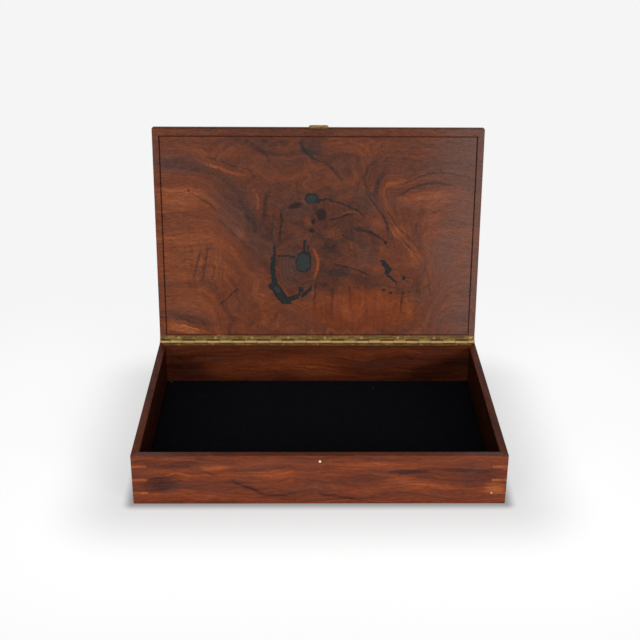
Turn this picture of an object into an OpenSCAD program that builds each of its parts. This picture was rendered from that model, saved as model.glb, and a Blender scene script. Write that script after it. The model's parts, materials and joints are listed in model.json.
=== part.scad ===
// Shallow wooden display box with a hinged lid.
// The box stands on the plane z = 0, its front faces -Y and the lid is drawn open, on its stop.

/* [Body] */
// Width of the body, left to right
body_w = 330; // [240:1:420]
// Depth of the body, front to back
body_d = 225.5; // [160:0.5:320]
// Height of the four walls
body_h = 49.6; // [46:0.1:90]
// Thickness of the front wall
front_wall_t = 6.9; // [6.6:0.1:10]
// Thickness of the two side walls
side_wall_t = 7.2; // [6.8:0.1:10]
// Thickness of the back wall, which carries the hinge
back_wall_t = 12.6; // [11.5:0.1:18]

/* [Bottom and lining] */
// Thickness of the bottom panel
bottom_t = 4; // [3:0.5:8]
// Height of the recess under the bottom panel
bottom_lift = 5; // [2:0.5:10]
// How far the bottom panel reaches into each wall
bottom_tongue = 3.5; // [2:0.1:4.5]
// Room left for the panel to move at the end of its groove
bottom_play = 0.3; // [0.1:0.1:1]
// Thickness of the felt lining
felt_t = 1.8; // [1:0.1:3]
// Gap between the felt and the walls
felt_gap = 0.2; // [0.1:0.1:1]

/* [Corner keys] */
// Number of keys in each corner
key_count = 3; // [1:1:3]
// Thickness of a key
key_t = 2.3; // [1.5:0.1:4]
// Wood left between a key and the inner corner, measured along a wall
key_cover = 0.6; // [0.3:0.1:3]
// Height of the lowest key's middle
key_first = 11.3; // [9:0.1:14]
// Distance between the middles of two keys
key_pitch = 13.6; // [8:0.1:14]

/* [Lid] */
// Thickness of the lid
lid_t = 7.6; // [7.4:0.1:14]
// How far each side of the lid stands back from the body's side
lid_side_inset = 0.4; // [0:0.1:2]
// How far the lid's front edge stands ahead of the body's front
lid_overhang = 0.2; // [0.15:0.05:1]
// Radius of the lid's two front corners
lid_corner_r = 1.5; // [0.5:0.1:5]
// Angle between the closed lid and the lid on its stop
open_angle = 96.5; // [90:0.5:110]
// Height of the closed lid's front above the front rim
front_gap = 0.2; // [0.1:0.05:0.5]

/* [Lid groove] */
// Width of the line cut round the lid's underside
groove_w = 1.2; // [0.8:0.1:3]
// Depth of that line
groove_depth = 1.1; // [0.5:0.1:2]
// Distance of its middle from the lid's sides
groove_side = 7; // [4:0.1:20]
// Distance of its middle from the lid's front edge
groove_front = 8.4; // [8:0.1:20]
// Distance between it and the hinge leaf
groove_leaf_gap = 0.7; // [0.2:0.1:10]

/* [Hinge] */
// Distance of the pin from the body's back face
pin_inset = 2.2; // [2:0.1:3]
// Height of the pin above the rim
pin_lift = 0.9; // [0.8:0.05:1.3]
// Diameter of the pin
pin_d = 1.6; // [1.2:0.1:1.8]
// How far each end of the pin lies inside the barrel
pin_recess = 0.5; // [0:0.1:3]
// Outer diameter of the knuckles
barrel_d = 2.8; // [2.6:0.1:3.6]
// Thickness of a leaf
leaf_t = 0.8; // [0.5:0.05:1]
// Width of a leaf from the pin's middle
leaf_w = 6.6; // [6.3:0.1:8]
// Width of the slot between a leaf and the other leaf's knuckles
leaf_slot = 0.6; // [0.2:0.1:1]
// Length of a knuckle
knuckle_l = 13; // [8:0.1:20]
// Length of the first knuckle, at the left end
knuckle_first = 10.6; // [6:0.1:20]
// Gap between two knuckles
knuckle_gap = 0.1; // [0.05:0.05:0.5]
// Radial clearance between the pin and the knuckles
pin_clearance = 0.04; // [0.02:0.01:0.1]
// Radial clearance between the barrel and the wood
barrel_clearance = 0.2; // [0.1:0.05:0.4]
// Clearance between the body leaf's ends and the mitres
mitre_clearance = 0.2; // [0.1:0.1:1]
// Gap between the two bevels that stop the lid
stop_gap = 0.1; // [0.05:0.05:0.2]

/* [Hinge screws] */
// Number of screws in each leaf
screw_count = 9; // [4:1:12]
// Distance of the first screw from the left end
screw_first = 20; // [15:0.5:30]
// Distance of the body leaf's last screw from the right end
screw_last_body = 20; // [7:0.1:30]
// Distance of the lid leaf's last screw from the right end
screw_last_lid = 4.6; // [3:0.1:30]
// Diameter of a countersunk screw head
screw_head_d = 3; // [2.4:0.1:3.2]
// Diameter of a screw's shank
screw_d = 1.5; // [1:0.1:2]
// Length of a screw
screw_l = 6; // [4:0.5:6.5]

/* [Catch] */
// Width of the sprung strip
catch_w = 19.4; // [16:0.1:40]
// Thickness of the strip
catch_t = 0.8; // [0.5:0.05:1]
// Height of the strip on the lid's front edge
catch_base_h = 6.6; // [5:0.1:7.2]
// How far below the lid's underside the strip starts to bend
catch_root_drop = 0.3; // [0.2:0.05:0.6]
// Clearance in the round root of the tongue
catch_root_clearance = 0.05; // [0.02:0.01:0.1]
// Straight length of the tongue below the hole's middle
catch_below_hole = 2; // [1.8:0.1:6]
// Radial clearance between the stud and the hole that drops over it
stud_clearance = 0.3; // [0.2:0.05:0.6]
// Inner radius of the finger lip
lip_r = 3; // [1:0.1:5]
// Straight end of the finger lip
lip_tip = 0.8; // [0.3:0.1:3]
// Radius of the lip's two corners
lip_corner_r = 2; // [0.5:0.1:3]
// Distance between the two pins that hold the strip
catch_pin_spacing = 11; // [6:0.5:12]
// Diameter of those pins
catch_pin_d = 1.4; // [1:0.1:2]
// Diameter of their heads
catch_pin_head_d = 2.6; // [2.4:0.1:3]
// Height of their heads
catch_pin_head_h = 0.5; // [0.3:0.1:1]
// Length of those pins in the wood
catch_pin_l = 6; // [4:0.5:10]

/* [Strike stud] */
// Distance of the stud's middle below the rim
stud_drop = 5.4; // [5:0.1:8]
// Diameter of the stud's head
stud_d = 2.6; // [2:0.1:2.6]
// How far the stud stands out of the strip when the lid is closed
stud_proud = 0.7; // [0.4:0.1:0.9]
// Height of the dome on the stud's end
stud_dome = 0.8; // [0.4:0.1:0.9]
// Diameter of the stud's shank in the wood
stud_shank_d = 1.6; // [1.2:0.1:2]
// Length of the stud's shank in the wood
stud_shank_l = 5; // [3:0.5:6]

/* [Hidden] */
$fn = 48;
cut = 1;
end_names = ["front", "back"];
side_names = ["left", "right"];

function key_name(end, side, n) = str("key_", end, "_", side, "_", n);

front_y = -body_d / 2;
back_y = body_d / 2;
inner_w = body_w - 2 * side_wall_t;
inner_front_y = front_y + front_wall_t;
inner_back_y = back_y - back_wall_t;
key_l = front_wall_t + side_wall_t - key_cover;

pin_y = back_y - pin_inset;
pin_z = body_h + pin_lift;
pin_r = pin_d / 2;
barrel_r = barrel_d / 2;
cove_r = barrel_r + barrel_clearance;
leaf_z = barrel_r - leaf_t;
leaf_edge = barrel_r + leaf_slot;
half_angle = open_angle / 2;

lid_w = body_w - 2 * lid_side_inset;
lid_len = pin_y - front_y + lid_overhang;
groove_back = leaf_w + groove_leaf_gap + groove_w / 2;

knuckle_count = floor((body_w - knuckle_first) / knuckle_l - 0.35) + 2;
screw_setback = (leaf_edge + leaf_w) / 2;
screw_head_h = (screw_head_d - screw_d) / 2;

catch_y = -lid_len - catch_t / 2;
catch_root_z = pin_lift - catch_root_drop;
catch_hole_z = pin_lift - front_gap - stud_drop;
catch_hole_d = stud_d + 2 * stud_clearance;
catch_pin_z = pin_lift + catch_base_h / 2;
lip_start_z = catch_hole_z - catch_below_hole;
stud_reach = lid_overhang + catch_t + stud_proud;

wood = "#7a4a35";
key_wood = "#b98263";
panel_wood = "#5f3d2b";
felt = "#16161a";
brass = "#a3895a";

// Places

// Half width of the back wall at a distance y, inside the mitres
function mitre_x(y) = body_w / 2 - side_wall_t * (back_y - y) / back_wall_t;

function knuckle_start(n) = n == 0
    ? -body_w / 2
    : -body_w / 2 + knuckle_first + (n - 1) * knuckle_l + knuckle_gap / 2;

function knuckle_end(n) = n == knuckle_count - 1
    ? body_w / 2
    : -body_w / 2 + knuckle_first + n * knuckle_l - knuckle_gap / 2;

// Middles of a leaf's screws, the last one at a distance last from the right end
function screw_places(last) = [
    for (n = [0:screw_count - 1])
        let (share = n / (screw_count - 1))
            (1 - share) * (screw_first - body_w / 2) + share * (body_w / 2 - last)
];

module at_pin() {
    translate([0, pin_y, pin_z]) children();
}

// The closed lid's pieces are drawn from the pin's middle, and turned open here
module at_open_lid() {
    at_pin() rotate([-open_angle, 0, 0]) children();
}

module round_bar_x(radius, length) {
    translate([-length / 2, 0, 0]) rotate([0, 90, 0]) cylinder(r = radius, h = length);
}

// Cuts that the walls and the lid share

// Room for the barrel, along the whole hinge
module barrel_cove() {
    round_bar_x(cove_r, body_w + 2 * cut);
}

// Room between the stop's bevel and the pin's level, behind the pin
module stop_bevel() {
    reach = 2 * lid_t + back_wall_t;
    rotate([-half_angle, 0, 0])
        translate([-body_w / 2 - cut, 0, -stop_gap / 2])
            cube([body_w + 2 * cut, reach, reach]);
}

module key_wedge(end_sign, side_sign, over, thickness) {
    corner_x = body_w / 2 + over;
    corner_y = body_d / 2 + over;
    reach = key_l + 2 * over;
    linear_extrude(thickness)
        polygon([
            [side_sign * corner_x, end_sign * corner_y],
            [side_sign * (corner_x - reach), end_sign * corner_y],
            [side_sign * corner_x, end_sign * (corner_y - reach)]
        ]);
}

function key_z(n) = key_first + (n - 1) * key_pitch - key_t / 2;

module key_slots() {
    for (end_sign = [-1, 1], side_sign = [-1, 1], n = [1:key_count])
        translate([0, 0, key_z(n)]) key_wedge(end_sign, side_sign, cut, key_t);
}

module bottom_groove() {
    over = bottom_tongue + bottom_play;
    translate([-inner_w / 2 - over, inner_front_y - over, bottom_lift])
        cube([inner_w + 2 * over, inner_back_y - inner_front_y + 2 * over, bottom_t]);
}

module wall(outline) {
    difference() {
        linear_extrude(body_h) polygon(outline);
        bottom_groove();
        key_slots();
        at_pin() barrel_cove();
        at_pin() stop_bevel();
        children();
    }
}

// Body

module front_wall() {
    color(wood) wall([
        [-body_w / 2, front_y],
        [body_w / 2, front_y],
        [inner_w / 2, inner_front_y],
        [-inner_w / 2, inner_front_y]
    ])
        translate([0, front_y - cut, body_h - stud_drop])
            rotate([-90, 0, 0]) cylinder(d = stud_shank_d, h = stud_shank_l + cut);
}

module back_wall() {
    color(wood) wall([
        [body_w / 2, back_y],
        [-body_w / 2, back_y],
        [-inner_w / 2, inner_back_y],
        [inner_w / 2, inner_back_y]
    ])
        at_pin() mirror([0, 0, 1]) leaf_seat(screw_last_body);
}

module side_wall(side_sign) {
    color(wood) wall([
        [side_sign * body_w / 2, front_y],
        [side_sign * inner_w / 2, inner_front_y],
        [side_sign * inner_w / 2, inner_back_y],
        [side_sign * body_w / 2, back_y]
    ]);
}

module bottom_panel() {
    color(panel_wood)
        translate([-inner_w / 2 - bottom_tongue, inner_front_y - bottom_tongue, bottom_lift])
            cube([
                inner_w + 2 * bottom_tongue,
                inner_back_y - inner_front_y + 2 * bottom_tongue,
                bottom_t
            ]);
}

module felt_lining() {
    color(felt)
        translate([-inner_w / 2 + felt_gap, inner_front_y + felt_gap, bottom_lift + bottom_t])
            cube([inner_w - 2 * felt_gap, inner_back_y - inner_front_y - 2 * felt_gap, felt_t]);
}

module corner_key(end_sign, side_sign, n) {
    color(key_wood) translate([0, 0, key_z(n)]) key_wedge(end_sign, side_sign, 0, key_t);
}

module strike_stud() {
    ball_r = (stud_d * stud_d / 4 + stud_dome * stud_dome) / (2 * stud_dome);
    color(brass) translate([0, front_y, body_h - stud_drop]) rotate([90, 0, 0]) {
        translate([0, 0, -stud_shank_l]) cylinder(d = stud_shank_d, h = stud_shank_l);
        cylinder(d = stud_d, h = stud_reach - stud_dome);
        intersection() {
            translate([0, 0, stud_reach - ball_r]) sphere(r = ball_r);
            translate([0, 0, stud_reach - stud_dome]) cylinder(d = stud_d, h = stud_dome + cut);
        }
    }
}

// Hinge, drawn as it lies under the closed lid, from the pin's middle

// Seat of a leaf and its screws in the wood
module leaf_seat(screw_last) {
    translate([-body_w / 2 - cut, -leaf_w, pin_lift - cut])
        cube([body_w + 2 * cut, leaf_w, barrel_r - pin_lift + cut]);
    for (x = screw_places(screw_last))
        translate([x, -screw_setback, leaf_z]) cylinder(d = screw_d, h = screw_l);
}

module screw_cone() {
    cylinder(d1 = screw_head_d, d2 = screw_d, h = screw_head_h);
}

module leaf(first_knuckle, screw_last, outline) {
    difference() {
        union() {
            translate([0, 0, leaf_z]) linear_extrude(leaf_t) polygon(outline);
            for (n = [first_knuckle:2:knuckle_count - 1])
                knuckle(knuckle_start(n), knuckle_end(n), outline[3][0]);
        }
        round_bar_x(pin_r + pin_clearance, body_w + 2 * cut);
        for (x = screw_places(screw_last))
            translate([x, -screw_setback, leaf_z]) {
                screw_cone();
                cylinder(d = screw_d, h = leaf_t + cut);
            }
    }
}

// One knuckle and the web that joins it to its leaf, which stays inside web_limit
module knuckle(start, end, web_limit) {
    web_start = max(start, -web_limit);
    web_end = min(end, web_limit);
    translate([(start + end) / 2, 0, 0]) round_bar_x(barrel_r, end - start);
    translate([web_start, -leaf_edge - knuckle_gap, leaf_z])
        cube([web_end - web_start, leaf_edge + knuckle_gap, leaf_t]);
}

module hinge_leaf_body() {
    front_x = mitre_x(pin_y - leaf_w) - mitre_clearance;
    web_x = mitre_x(pin_y - leaf_edge) - mitre_clearance;
    color(brass) at_pin() mirror([0, 0, 1])
        leaf(
            0,
            screw_last_body,
            [[-web_x, -leaf_edge], [-front_x, -leaf_w], [front_x, -leaf_w], [web_x, -leaf_edge]]
        );
}

module hinge_leaf_lid() {
    side_x = lid_w / 2;
    color(brass) at_open_lid()
        leaf(
            1,
            screw_last_lid,
            [[-side_x, -leaf_edge], [-side_x, -leaf_w], [side_x, -leaf_w], [side_x, -leaf_edge]]
        );
}

module leaf_screws(screw_last) {
    color(brass)
        for (x = screw_places(screw_last))
            translate([x, -screw_setback, leaf_z]) {
                screw_cone();
                cylinder(d = screw_d, h = screw_l);
            }
}

module hinge_screws_body() {
    at_pin() mirror([0, 0, 1]) leaf_screws(screw_last_body);
}

module hinge_screws_lid() {
    at_open_lid() leaf_screws(screw_last_lid);
}

module hinge_pin() {
    color(brass) at_pin() round_bar_x(pin_r, body_w - 2 * pin_recess);
}

// Lid, drawn closed from the pin's middle

module lid_board() {
    body_len = lid_len - lid_corner_r + pin_inset;
    translate([-lid_w / 2, -lid_len + lid_corner_r, pin_lift]) cube([lid_w, body_len, lid_t]);
    translate([-lid_w / 2 + lid_corner_r, -lid_len, pin_lift])
        cube([lid_w - 2 * lid_corner_r, 2 * lid_corner_r, lid_t]);
    for (side_sign = [-1, 1])
        translate([side_sign * (lid_w / 2 - lid_corner_r), -lid_len + lid_corner_r, pin_lift])
            cylinder(r = lid_corner_r, h = lid_t);
}

// The line round the underside, as an outer block less an inner one
module lid_groove() {
    groove_block(groove_w / 2, pin_lift - cut, groove_depth + cut);
}

module groove_block(half_w, start_z, height) {
    line_w = lid_w - 2 * groove_side;
    line_len = lid_len - groove_front - groove_back;
    difference() {
        translate([-line_w / 2 - half_w, groove_front - lid_len - half_w, start_z])
            cube([line_w + 2 * half_w, line_len + 2 * half_w, height]);
        translate([-line_w / 2 + half_w, groove_front - lid_len + half_w, start_z - cut])
            cube([line_w - 2 * half_w, line_len - 2 * half_w, height + 2 * cut]);
    }
}

module lid_panel() {
    color(wood) at_open_lid()
        difference() {
            lid_board();
            lid_groove();
            leaf_seat(screw_last_lid);
            barrel_cove();
            mirror([0, 0, 1]) stop_bevel();
            for (side_sign = [-1, 1])
                translate([side_sign * catch_pin_spacing / 2, -lid_len - cut, catch_pin_z])
                    rotate([-90, 0, 0]) cylinder(d = catch_pin_d, h = catch_pin_l + cut);
        }
}

// Catch, drawn closed from the pin's middle

module catch_plate() {
    color(brass) at_open_lid()
        difference() {
            translate([-catch_w / 2, -lid_len - catch_t, catch_root_z])
                cube([catch_w, catch_t, catch_base_h + catch_root_drop]);
            translate([0, catch_y, catch_root_z])
                round_bar_x(catch_t / 2 + catch_root_clearance, catch_w + 2 * cut);
            for (side_sign = [-1, 1])
                translate([side_sign * catch_pin_spacing / 2, -lid_len + cut, catch_pin_z])
                    rotate([90, 0, 0]) cylinder(d = catch_pin_d, h = catch_t + 2 * cut);
        }
}

module catch_pins() {
    color(brass) at_open_lid()
        for (side_sign = [-1, 1])
            translate([side_sign * catch_pin_spacing / 2, -lid_len - catch_t, catch_pin_z])
                rotate([-90, 0, 0]) {
                    cylinder(d = catch_pin_d, h = catch_t + catch_pin_l);
                    translate([0, 0, -catch_pin_head_h])
                        cylinder(d1 = catch_pin_d, d2 = catch_pin_head_d, h = catch_pin_head_h);
                }
}

// Quarter turn and straight end of the finger lip, from the middle of its bend
module finger_lip() {
    outer_r = lip_r + catch_t;
    difference() {
        union() {
            quarter_bend(outer_r);
            translate([-catch_w / 2, -lip_tip, -outer_r]) cube([catch_w, lip_tip, catch_t]);
        }
        for (side_sign = [-1, 1]) lip_corner_cut(side_sign, outer_r);
    }
}

module quarter_bend(outer_r) {
    difference() {
        round_bar_x(outer_r, catch_w);
        round_bar_x(lip_r, catch_w + 2 * cut);
        translate([-catch_w / 2 - cut, -outer_r - cut, 0])
            cube([catch_w + 2 * cut, 2 * outer_r + 2 * cut, outer_r + cut]);
        translate([-catch_w / 2 - cut, -outer_r - cut, -outer_r - cut])
            cube([catch_w + 2 * cut, outer_r + cut, outer_r + 2 * cut]);
    }
}

// What is cut off one corner of the lip to round it
module lip_corner_cut(side_sign, outer_r) {
    size = lip_corner_r + cut;
    translate([side_sign * (catch_w / 2 - lip_corner_r), lip_corner_r - lip_tip, -outer_r - cut])
        difference() {
            translate([side_sign * size / 2 - size / 2, -size, 0]) cube([size, size, outer_r + cut]);
            translate([0, 0, -cut]) cylinder(r = lip_corner_r, h = outer_r + 3 * cut);
        }
}

module catch_tongue() {
    straight_l = catch_root_z - lip_start_z;
    color(brass) at_open_lid()
        difference() {
            union() {
                translate([0, catch_y, catch_root_z]) round_bar_x(catch_t / 2, catch_w);
                translate([-catch_w / 2, -lid_len - catch_t, lip_start_z])
                    cube([catch_w, catch_t, straight_l]);
                translate([0, -lid_len - catch_t - lip_r, lip_start_z]) finger_lip();
            }
            translate([0, -lid_len + cut, catch_hole_z])
                rotate([90, 0, 0]) cylinder(d = catch_hole_d, h = catch_t + 2 * cut);
        }
}

front_wall();
back_wall();
side_wall(-1);  // left_wall
side_wall(1);  // right_wall
bottom_panel();
felt_lining();
for (end = [0, 1], side = [0, 1], n = [1:key_count])
    corner_key(2 * end - 1, 2 * side - 1, n);
hinge_leaf_body();
hinge_screws_body();
hinge_pin();
strike_stud();
lid_panel();
hinge_leaf_lid();
hinge_screws_lid();
catch_plate();
catch_pins();
catch_tongue();
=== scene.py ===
"""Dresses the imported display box: eased wood, felt, brass, and the light and camera of its portrait."""

import json
import math
import random

import bmesh
import bpy
from mathutils import Matrix, Vector


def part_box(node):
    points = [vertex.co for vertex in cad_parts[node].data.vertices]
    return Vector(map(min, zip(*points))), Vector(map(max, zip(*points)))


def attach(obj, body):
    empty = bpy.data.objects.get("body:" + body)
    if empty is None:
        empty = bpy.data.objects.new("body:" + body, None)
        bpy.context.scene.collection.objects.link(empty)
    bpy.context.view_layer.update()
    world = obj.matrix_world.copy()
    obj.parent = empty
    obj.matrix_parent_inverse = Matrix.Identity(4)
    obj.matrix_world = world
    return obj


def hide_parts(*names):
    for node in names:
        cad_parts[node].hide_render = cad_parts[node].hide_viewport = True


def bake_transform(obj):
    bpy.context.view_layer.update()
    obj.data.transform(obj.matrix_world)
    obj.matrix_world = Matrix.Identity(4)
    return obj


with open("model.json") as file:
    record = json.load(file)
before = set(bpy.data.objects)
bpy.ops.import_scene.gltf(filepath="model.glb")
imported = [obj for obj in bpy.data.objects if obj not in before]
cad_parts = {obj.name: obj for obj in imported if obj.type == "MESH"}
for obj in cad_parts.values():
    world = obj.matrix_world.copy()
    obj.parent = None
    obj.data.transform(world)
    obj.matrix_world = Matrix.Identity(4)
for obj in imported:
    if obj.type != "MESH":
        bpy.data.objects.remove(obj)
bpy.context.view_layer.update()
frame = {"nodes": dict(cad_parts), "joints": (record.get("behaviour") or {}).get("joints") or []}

MM = 0.001

# What the frame doesn't state, in degrees and millimetres, as in the part's source
OPEN_ANGLE = 96.5
PIN_LIFT = 0.9
PIN_INSET = 2.2
LID_T = 7.6
LID_CORNER_R = 1.5
LID_OVERHANG = 0.2
GROOVE_W = 1.2
GROOVE_SIDE = 7.0
GROOVE_FRONT = 8.4
GROOVE_BACK = 7.9
STRIP_T = 0.8
STRIP_W = 19.4
STRIP_BASE_H = 6.6
STRIP_HOLE_DROP = 5.6
STRIP_HOLE_R = 1.6
STRIP_BELOW_HOLE = 2.0
LIP_R = 3.0
LIP_TIP = 0.8
LIP_CORNER_R = 2.0
KNUCKLE_FIRST = 10.6
KNUCKLE_L = 13.0

# How far the eased pieces stand back from the plain solids, so that no two faces coincide, and the
# radii and steps of their eased edges
SKIN = 0.02
CORNER_EASE = 0.8
EDGE_EASE = 0.5
LID_EASE = 0.6
ROUND_STEPS = 5

# The felt's mesh: its pitch, how far its edge drops, its waves, its fuzz, and how low its face lies
FELT_STEP = 2.0
FELT_EDGE = 0.6
FELT_WAVE = 0.08
FELT_FUZZ = 0.06
FELT_SINK = 0.16

# The catch strip's mesh: upper corners, eased edges, length that bends, and the hole's cutter
STRIP_TOP_R = 1.2
STRIP_EASE = 0.18
STRIP_HOLE_ENDS = (-2, 3)
HOLE_STEPS = 32


def box_mm(node):
    return [Vector(corner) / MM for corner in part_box(node)]


front_low, front_high = box_mm("front_wall")
back_low, back_high = box_mm("back_wall")
left_low, left_high = box_mm("left_wall")
felt_low, felt_high = box_mm("felt_lining")
lid_half_w = box_mm("lid_panel")[1].x
pin = Vector(next(j["pos_m"] for j in frame["joints"] if j["name"] == "lid_hinge")) / MM
body_low = Vector((left_low.x, front_low.y, left_low.z))
body_high = Vector((-left_low.x, back_high.y, front_high.z))
front_wall_t = front_high.y - front_low.y
back_wall_t = back_high.y - back_low.y
side_wall_t = left_high.x - left_low.x
lid_len = pin.y - body_low.y + LID_OVERHANG

# From the closed lid's own frame, whose origin is the pin, to the open lid in the row frame
open_lid = Matrix.Translation(pin) @ Matrix.Rotation(math.radians(-OPEN_ANGLE), 4, "X")
lid_up = (open_lid.to_3x3() @ Vector((0, -1, 0))).normalized()
lid_back = (open_lid.to_3x3() @ Vector((0, 0, 1))).normalized()


# Fields: numbers and colours that vary over a surface

def operator(kind, swapped=False):
    """An arithmetic operator of fields, which adds one math node."""
    def apply(field, other):
        values = (other, field) if swapped else (field, other)
        return field.graph.math(kind, *values)

    return apply


class Field:
    """A node's output, which takes part in arithmetic."""

    def __init__(self, graph, socket):
        self.graph = graph
        self.socket = socket

    __add__ = operator("ADD")
    __sub__ = operator("SUBTRACT")
    __rsub__ = operator("SUBTRACT", swapped=True)
    __mul__ = operator("MULTIPLY")

    def __truediv__(self, other):
        return self * (1 / other)


class Graph:
    """A node tree, with short names for the nodes used here. Lengths are in millimetres."""

    def __init__(self, tree):
        self.tree = tree
        self.tree.nodes.clear()

    def node(self, kind, **settings):
        made = self.tree.nodes.new(kind)
        for key, value in settings.items():
            setattr(made, key, value)
        return made

    def put(self, socket, value):
        """Links a field to a socket, or writes a plain value there."""
        if isinstance(value, Field):
            self.tree.links.new(value.socket, socket)
        else:
            socket.default_value = value

    def fed(self, made, inputs):
        """The first output of a node, once it has these inputs."""
        for name, value in inputs.items():
            self.put(made.inputs[name], value)
        return Field(self, made.outputs[0])

    def field(self, kind, *values, **settings):
        """The first output of a new node, with these values at its first inputs."""
        made = self.node(kind, **settings)
        for socket, value in zip(made.inputs, values):
            self.put(socket, value)
        return Field(self, made.outputs[0])

    def math(self, operation, *values):
        return self.field("ShaderNodeMath", *values, operation=operation)

    def vector(self, x, y, z=0.0):
        return self.field("ShaderNodeCombineXYZ", x, y, z)

    def place(self):
        """The surface point's x, y and z at rest."""
        point = self.node("ShaderNodeTexCoord").outputs["Object"]
        split = self.node("ShaderNodeSeparateXYZ")
        self.tree.links.new(point, split.inputs[0])
        return [Field(self, socket) / MM for socket in split.outputs]

    def group(self, name, fields, make):
        """What make returns for these fields, with its nodes in a group of their own."""
        tree = bpy.data.node_groups.new(name, "ShaderNodeTree")
        for i in range(len(fields)):
            tree.interface.new_socket("in_%d" % i, in_out="INPUT", socket_type="NodeSocketFloat")
        tree.interface.new_socket("out", in_out="OUTPUT", socket_type="NodeSocketFloat")
        inner = Graph(tree)
        entry = inner.node("NodeGroupInput")
        given = [Field(inner, entry.outputs[i]) for i in range(len(fields))]
        result = make(inner, *given)
        inner.put(inner.node("NodeGroupOutput").inputs[0], result)
        return self.field("ShaderNodeGroup", *fields, node_tree=tree)

    def noise(self, x, y, z=0.0, detail=2.0, roughness=0.5):
        """Noise about 0, mostly between -0.2 and 0.2, one unit of its coordinates wide."""
        made = self.node("ShaderNodeTexNoise")
        given = {"Vector": self.vector(x, y, z), "Scale": 1.0, "Detail": detail, "Roughness": roughness}
        return self.fed(made, given) - 0.5

    def step(self, value, low, high):
        """0 below low and 1 above high, smooth between. It falls where low is above high."""
        made = self.node("ShaderNodeMapRange", interpolation_type="SMOOTHSTEP")
        (start, first), (end, last) = sorted([(low, 0.0), (high, 1.0)])
        given = {"Value": value, "From Min": start, "From Max": end, "To Min": first, "To Max": last}
        return self.fed(made, given)

    def spread(self, u, v, middle, radii, turn=0.0):
        """Square of the distance from a place, 1 on an ellipse of these radii and turn."""
        cos = math.cos(math.radians(turn))
        sin = math.sin(math.radians(turn))
        first = self.slope(u, v, middle, cos / radii[0], sin / radii[0])
        second = self.slope(u, v, middle, -sin / radii[1], cos / radii[1])
        return self.math("MULTIPLY_ADD", second, second, first * first)

    def slope(self, u, v, middle, along_u, along_v):
        """A number that is 0 at a place and grows by these amounts with u and v."""
        start = -middle[0] * along_u - middle[1] * along_v
        if along_u == 0:
            return self.math("MULTIPLY_ADD", v, along_v, start)
        if along_v == 0:
            return self.math("MULTIPLY_ADD", u, along_u, start)
        return self.math("MULTIPLY_ADD", u, along_u, self.math("MULTIPLY_ADD", v, along_v, start))

    def spot(self, u, v, middle, radii, turn=0.0, soft=1.0):
        """1 inside an ellipse and 0 outside. It fades over this share of the radius."""
        return self.step(self.spread(u, v, middle, radii, turn), 1.0, (1.0 - soft) ** 2)

    def curve(self, share, places):
        """A smooth curve through places, each a share from 0 to 1 and an output."""
        low = min(output for _, output in places)
        span = max(output for _, output in places) - low or 1.0
        made = self.node("ShaderNodeFloatCurve")
        made.mapping.extend = "HORIZONTAL"
        points = made.mapping.curves[0].points
        while len(points) < len(places):
            points.new(0.5, 0.5)
        for point, (given, output) in zip(points, sorted(places)):
            point.location = (given, (output - low) / span)
        made.mapping.update()
        self.put(made.inputs["Value"], share)
        return self.math("MULTIPLY_ADD", Field(self, made.outputs[0]), span, low)

    def line(self, u, v, places, half_width, soft=0.7, fade=0.18):
        """1 on a smooth line through places and 0 beyond its half width. Its ends fade out."""
        across = abs(places[-1][0] - places[0][0])
        up = abs(places[-1][1] - places[0][1])
        if up > across:
            u, v = v, u
            places = [(b, a) for a, b in places]
        start = min(a for a, _ in places)
        reach = max(a for a, _ in places) - start
        share = self.math("MULTIPLY_ADD", u, 1 / reach, -start / reach)
        middle = self.curve(share, [((a - start) / reach, b) for a, b in places])
        offset = self.math("ABSOLUTE", v - middle)
        ends = self.step(share * (1.0 - share), 0.0, fade * (1 - fade))
        return self.step(offset, half_width, half_width * (1 - soft)) * ends

    def ramp(self, value, stops):
        """A colour from a scale of places from 0 to 1 and their colours."""
        made = self.node("ShaderNodeValToRGB")
        elements = made.color_ramp.elements
        while len(elements) < len(stops):
            elements.new(0.5)
        for element, (place, colour) in zip(elements, stops):
            element.position = place
            element.color = linear(colour)
        self.put(made.inputs[0], value)
        return Field(self, made.outputs["Color"])

    def mix(self, share, first, second):
        """first where share is 0 and second where it is 1."""
        made = self.node("ShaderNodeMix", data_type="RGBA", clamp_factor=True)
        self.put(made.inputs["Factor"], share)
        colours = [socket for socket in made.inputs if socket.type == "RGBA"]
        for socket, value in zip(colours, (first, second)):
            self.put(socket, value if isinstance(value, Field) else linear(value))
        return Field(self, next(socket for socket in made.outputs if socket.type == "RGBA"))

    def bump(self, height, distance):
        """A normal from a height field, whose unit is distance millimetres."""
        given = {"Height": height, "Strength": 1.0, "Distance": distance * MM}
        return self.fed(self.node("ShaderNodeBump"), given)

    def finish(self, colour, roughness, gloss=0.5, **others):
        """Ends the material in one surface shader. gloss is its specular level."""
        shader = self.node("ShaderNodeBsdfPrincipled")
        given = {"Base Color": colour, "Roughness": roughness, "Specular IOR Level": gloss}
        given.update((name.replace("_", " "), value) for name, value in others.items())
        self.fed(shader, given)
        self.shade(shader)

    def shade(self, shader):
        output = self.node("ShaderNodeOutputMaterial")
        self.tree.links.new(shader.outputs[0], output.inputs["Surface"])


def material(name, make):
    """A material whose nodes are laid out by make."""
    made = bpy.data.materials.new(name)
    made.use_nodes = True
    make(Graph(made.node_tree))
    return made


def linear(colour):
    """An 8-bit screen colour as the linear one that the nodes take."""
    def channel(value):
        value = value / 255
        return value / 12.92 if value <= 0.04045 else ((value + 0.055) / 1.055) ** 2.4

    return (*(channel(value) for value in colour), 1.0)


def total(fields):
    """The sum of fields, each added as soon as it is made."""
    result = 0.0
    for field in fields:
        result = field + result
    return result


MARKS_PER_GROUP = 8


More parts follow.
